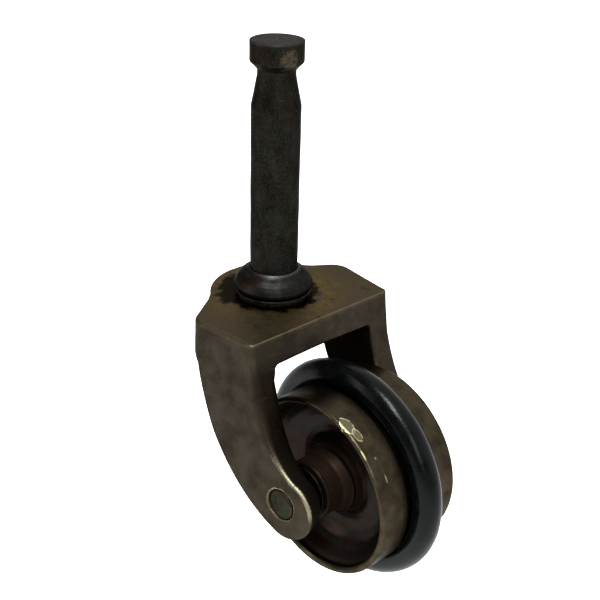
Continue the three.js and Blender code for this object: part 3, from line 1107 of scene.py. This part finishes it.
def wheel_bronze():
    paint = Paint("wheel_bronze")
    x, y, z = paint.from_point(AXLE)
    radius = paint.length(x, z)
    side = paint.math("ABSOLUTE", y)
    patches = paint.noise(3.6, 5, 0.62, shift=(5, 2, 7))
    turning = paint.noise(0.3, 2, 0.6, place=paint_ring_place(paint, radius, y))
    within = paint.span(side, DRUM_HALF_WIDTH + 3, DRUM_HALF_WIDTH)
    dish = paint.times(paint.span(radius, 20.3, 19.4), within)
    dish = paint.math("MAXIMUM", dish, paint.span(radius, 19.6, 18.8))
    colour = wheel_base(paint, patches, turning)
    # Stain and painted shade over the recessed dish.
    colour = paint.mix(dish, colour, dish_stain_and_shade(paint, turning))
    colour = hub_stain_and_end_shade(paint, colour, radius, side)
    colour = grime_and_wear(paint, colour, WHEEL_EDGE, paint.span(radius, 12, 19, 0.05, 0.5))
    colour = rub_marks_and_glints(paint, colour, radius)
    rough = paint.span(patches, *SOFT, 0.38, 0.28)
    rough = paint.blend(dish, rough, paint.span(radius, 10, 8, 0.24, 0.45))
    height = paint.total(paint.times(turning, 0.2), paint.noise(0.8, 5, 0.72, shift=(3, 3, 3)))
    paint.bump(height, 0.04)
    paint.shader.inputs["Specular IOR Level"].default_value = 0.08
    return paint.finish(colour, rough, paint.blend(dish, 1.0, 0.6))


def tyre_rubber():
    paint = Paint("tyre_rubber")
    patches = paint.noise(4.0, 5, 0.6, shift=(6, 6, 1))
    colour = paint.mix(paint.span(patches, 0.35, 0.7), TYRE_DARK, TYRE_LIGHT)
    dust = paint.span(paint.noise(0.7, 3, 0.7, shift=(2, 2, 9)), 0.62, 0.74)
    colour = paint.over(colour, TYRE_DUST, dust, 0.2)
    rough = paint.span(patches, *SOFT, 0.17, 0.26)
    paint.shader.inputs["Specular IOR Level"].default_value = 0.125
    paint.bump(paint.noise(1.1, 5, 0.7), 0.04)
    return paint.finish(colour, rough, 0.0)


# ---- light, floor and camera
VIEW_AZIMUTH = math.radians(43.41)  # of the camera, from +X towards -Y
VIEW_ELEVATION = math.radians(26.98)
VIEW_ROLL = math.radians(1.674)
VIEW_DISTANCE = 245.3
VIEW_RIGHT = 6.417
VIEW_UP = -2.211
LENS = 61.14
SENSOR = 36
CLIP_START = 0.01
CLIP_END = 50
BRIGHT_SIDE = (0, 0.93, 0.36)  # of the tent
TENT_FADE = {"From Min": -0.15, "From Max": 0.6, "To Min": 0.2, "To Max": 1.0}
SEEN_TENT = 1.1  # strength of the tent's white where the camera sees it
FLOOR_HALF = 6  # metres, as is the drop
FLOOR_DROP = 0.2
FLOOR_WHITE = 0.92
FLOOR_GLOW = 0.3  # and 1 more where the camera sees the floor

# Direction from the object, then distance, width and height in metres, power in watts, and colour
SOFTBOXES = {
    "top_softbox": ((0.25, -0.3, 0.92), 0.9, 0.16, 0.45, 10.0, (0.90, 0.97, 1.0)),
    "side_softbox": ((0.76, -0.46, 0.46), 1.0, 0.25, 0.5, 2.5, (0.93, 0.97, 1.0)),
    "left_softbox": ((-0.55, -0.8, 0.25), 1.0, 0.25, 0.7, 2.0, (1.0, 1.0, 0.97)),
}


def view_direction():
    """From the object towards the camera."""
    level = math.cos(VIEW_ELEVATION)
    forward = level * math.cos(VIEW_AZIMUTH)
    aside = -level * math.sin(VIEW_AZIMUTH)
    return Vector((forward, aside, math.sin(VIEW_ELEVATION)))


def make_camera():
    towards = view_direction()
    right = (-towards).cross(Vector((0, 0, 1))).normalized()
    up = right.cross(-towards)
    rolled_right = right * math.cos(VIEW_ROLL) + up * math.sin(VIEW_ROLL)
    rolled_up = up * math.cos(VIEW_ROLL) - right * math.sin(VIEW_ROLL)
    place = SWIVEL + towards * VIEW_DISTANCE + rolled_right * VIEW_RIGHT + rolled_up * VIEW_UP
    data = bpy.data.cameras.new("camera")
    data.lens = LENS
    data.sensor_width = SENSOR
    data.clip_start = CLIP_START
    data.clip_end = CLIP_END
    camera = bpy.data.objects.new("camera", data)
    turn = Matrix((rolled_right, rolled_up, towards)).transposed().to_4x4()
    camera.matrix_world = Matrix.Translation(place * MM) @ turn
    bpy.context.scene.collection.objects.link(camera)
    bpy.context.scene.camera = camera


def make_world():
    """A tent, bright on one side and dim elsewhere, that the camera sees as plain white."""
    world = bpy.data.worlds.new("tent")
    world.use_nodes = True
    bpy.context.scene.world = world
    nodes = world.node_tree.nodes
    links = world.node_tree.links
    background = nodes["Background"]
    direction = nodes.new("ShaderNodeTexCoord").outputs["Generated"]
    dot = nodes.new("ShaderNodeVectorMath")
    dot.operation = "DOT_PRODUCT"
    links.new(direction, dot.inputs[0])
    dot.inputs[1].default_value = Vector(BRIGHT_SIDE).normalized()
    dim = nodes.new("ShaderNodeMapRange")
    dim.interpolation_type = "SMOOTHSTEP"
    links.new(dot.outputs["Value"], dim.inputs["Value"])
    for name, value in TENT_FADE.items():
        dim.inputs[name].default_value = value
    path = nodes.new("ShaderNodeLightPath").outputs["Is Camera Ray"]
    seen = nodes.new("ShaderNodeMix")
    links.new(path, seen.inputs["Factor"])
    links.new(dim.outputs["Result"], seen.inputs["A"])
    seen.inputs["B"].default_value = SEEN_TENT
    links.new(seen.outputs["Result"], background.inputs["Strength"])
    background.inputs["Color"].default_value = (1, 1, 1, 1)


def make_softbox(name, direction, distance, width, height, power, colour):
    """Area light in that direction from the object, turned to face it."""
    data = bpy.data.lights.new(name, "AREA")
    data.shape = "RECTANGLE"
    data.size = width
    data.size_y = height
    data.energy = power
    data.color = colour
    light = bpy.data.objects.new(name, data)
    centre = (cad_box[0] + cad_box[1]) / 2
    out = Vector(direction).normalized()
    light.location = centre + out * distance
    light.rotation_mode = "QUATERNION"
    light.rotation_quaternion = out.to_track_quat("Z", "Y")
    light.visible_camera = False
    bpy.context.scene.collection.objects.link(light)


def make_floor():
    half = FLOOR_HALF
    level = cad_box[0].z - FLOOR_DROP
    corners = [(-half, -half, level), (half, -half, level), (half, half, level), (-half, half, level)]
    mesh = bpy.data.meshes.new("floor")
    mesh.from_pydata(corners, [], [(0, 1, 2, 3)])
    floor = bpy.data.objects.new("floor", mesh)
    bpy.context.scene.collection.objects.link(floor)
    material = bpy.data.materials.new("floor")
    material.use_nodes = True
    shader = material.node_tree.nodes["Principled BSDF"]
    shader.inputs["Base Color"].default_value = (FLOOR_WHITE, FLOOR_WHITE, FLOOR_WHITE, 1)
    shader.inputs["Roughness"].default_value = 0.9
    shader.inputs["Specular IOR Level"].default_value = 0.0
    shader.inputs["Emission Color"].default_value = (1, 1, 1, 1)
    glow = material.node_tree.nodes.new("ShaderNodeMath")
    glow.operation = "ADD"
    glow.inputs[1].default_value = FLOOR_GLOW
    path = material.node_tree.nodes.new("ShaderNodeLightPath").outputs["Is Camera Ray"]
    material.node_tree.links.new(path, glow.inputs[0])
    material.node_tree.links.new(glow.outputs[0], shader.inputs["Emission Strength"])
    mesh.materials.append(material)


# ---- put together
make_fork()
make_stem()
make_collar()
make_washers()
make_pin()
make_wheel()
make_tyre()

finishes = {}
for finish in (fork_bronze, stem_steel, collar_steel, greased_steel, pin_steel, wheel_bronze, tyre_rubber):
    finishes[finish.__name__] = finish()
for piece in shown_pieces():
    piece.data.materials.clear()
    piece.data.materials.append(finishes[piece["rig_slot"]])

make_floor()
make_world()
for name, settings in SOFTBOXES.items():
    make_softbox(name, *settings)
make_camera()
bpy.context.scene.view_settings.view_transform = "Standard"
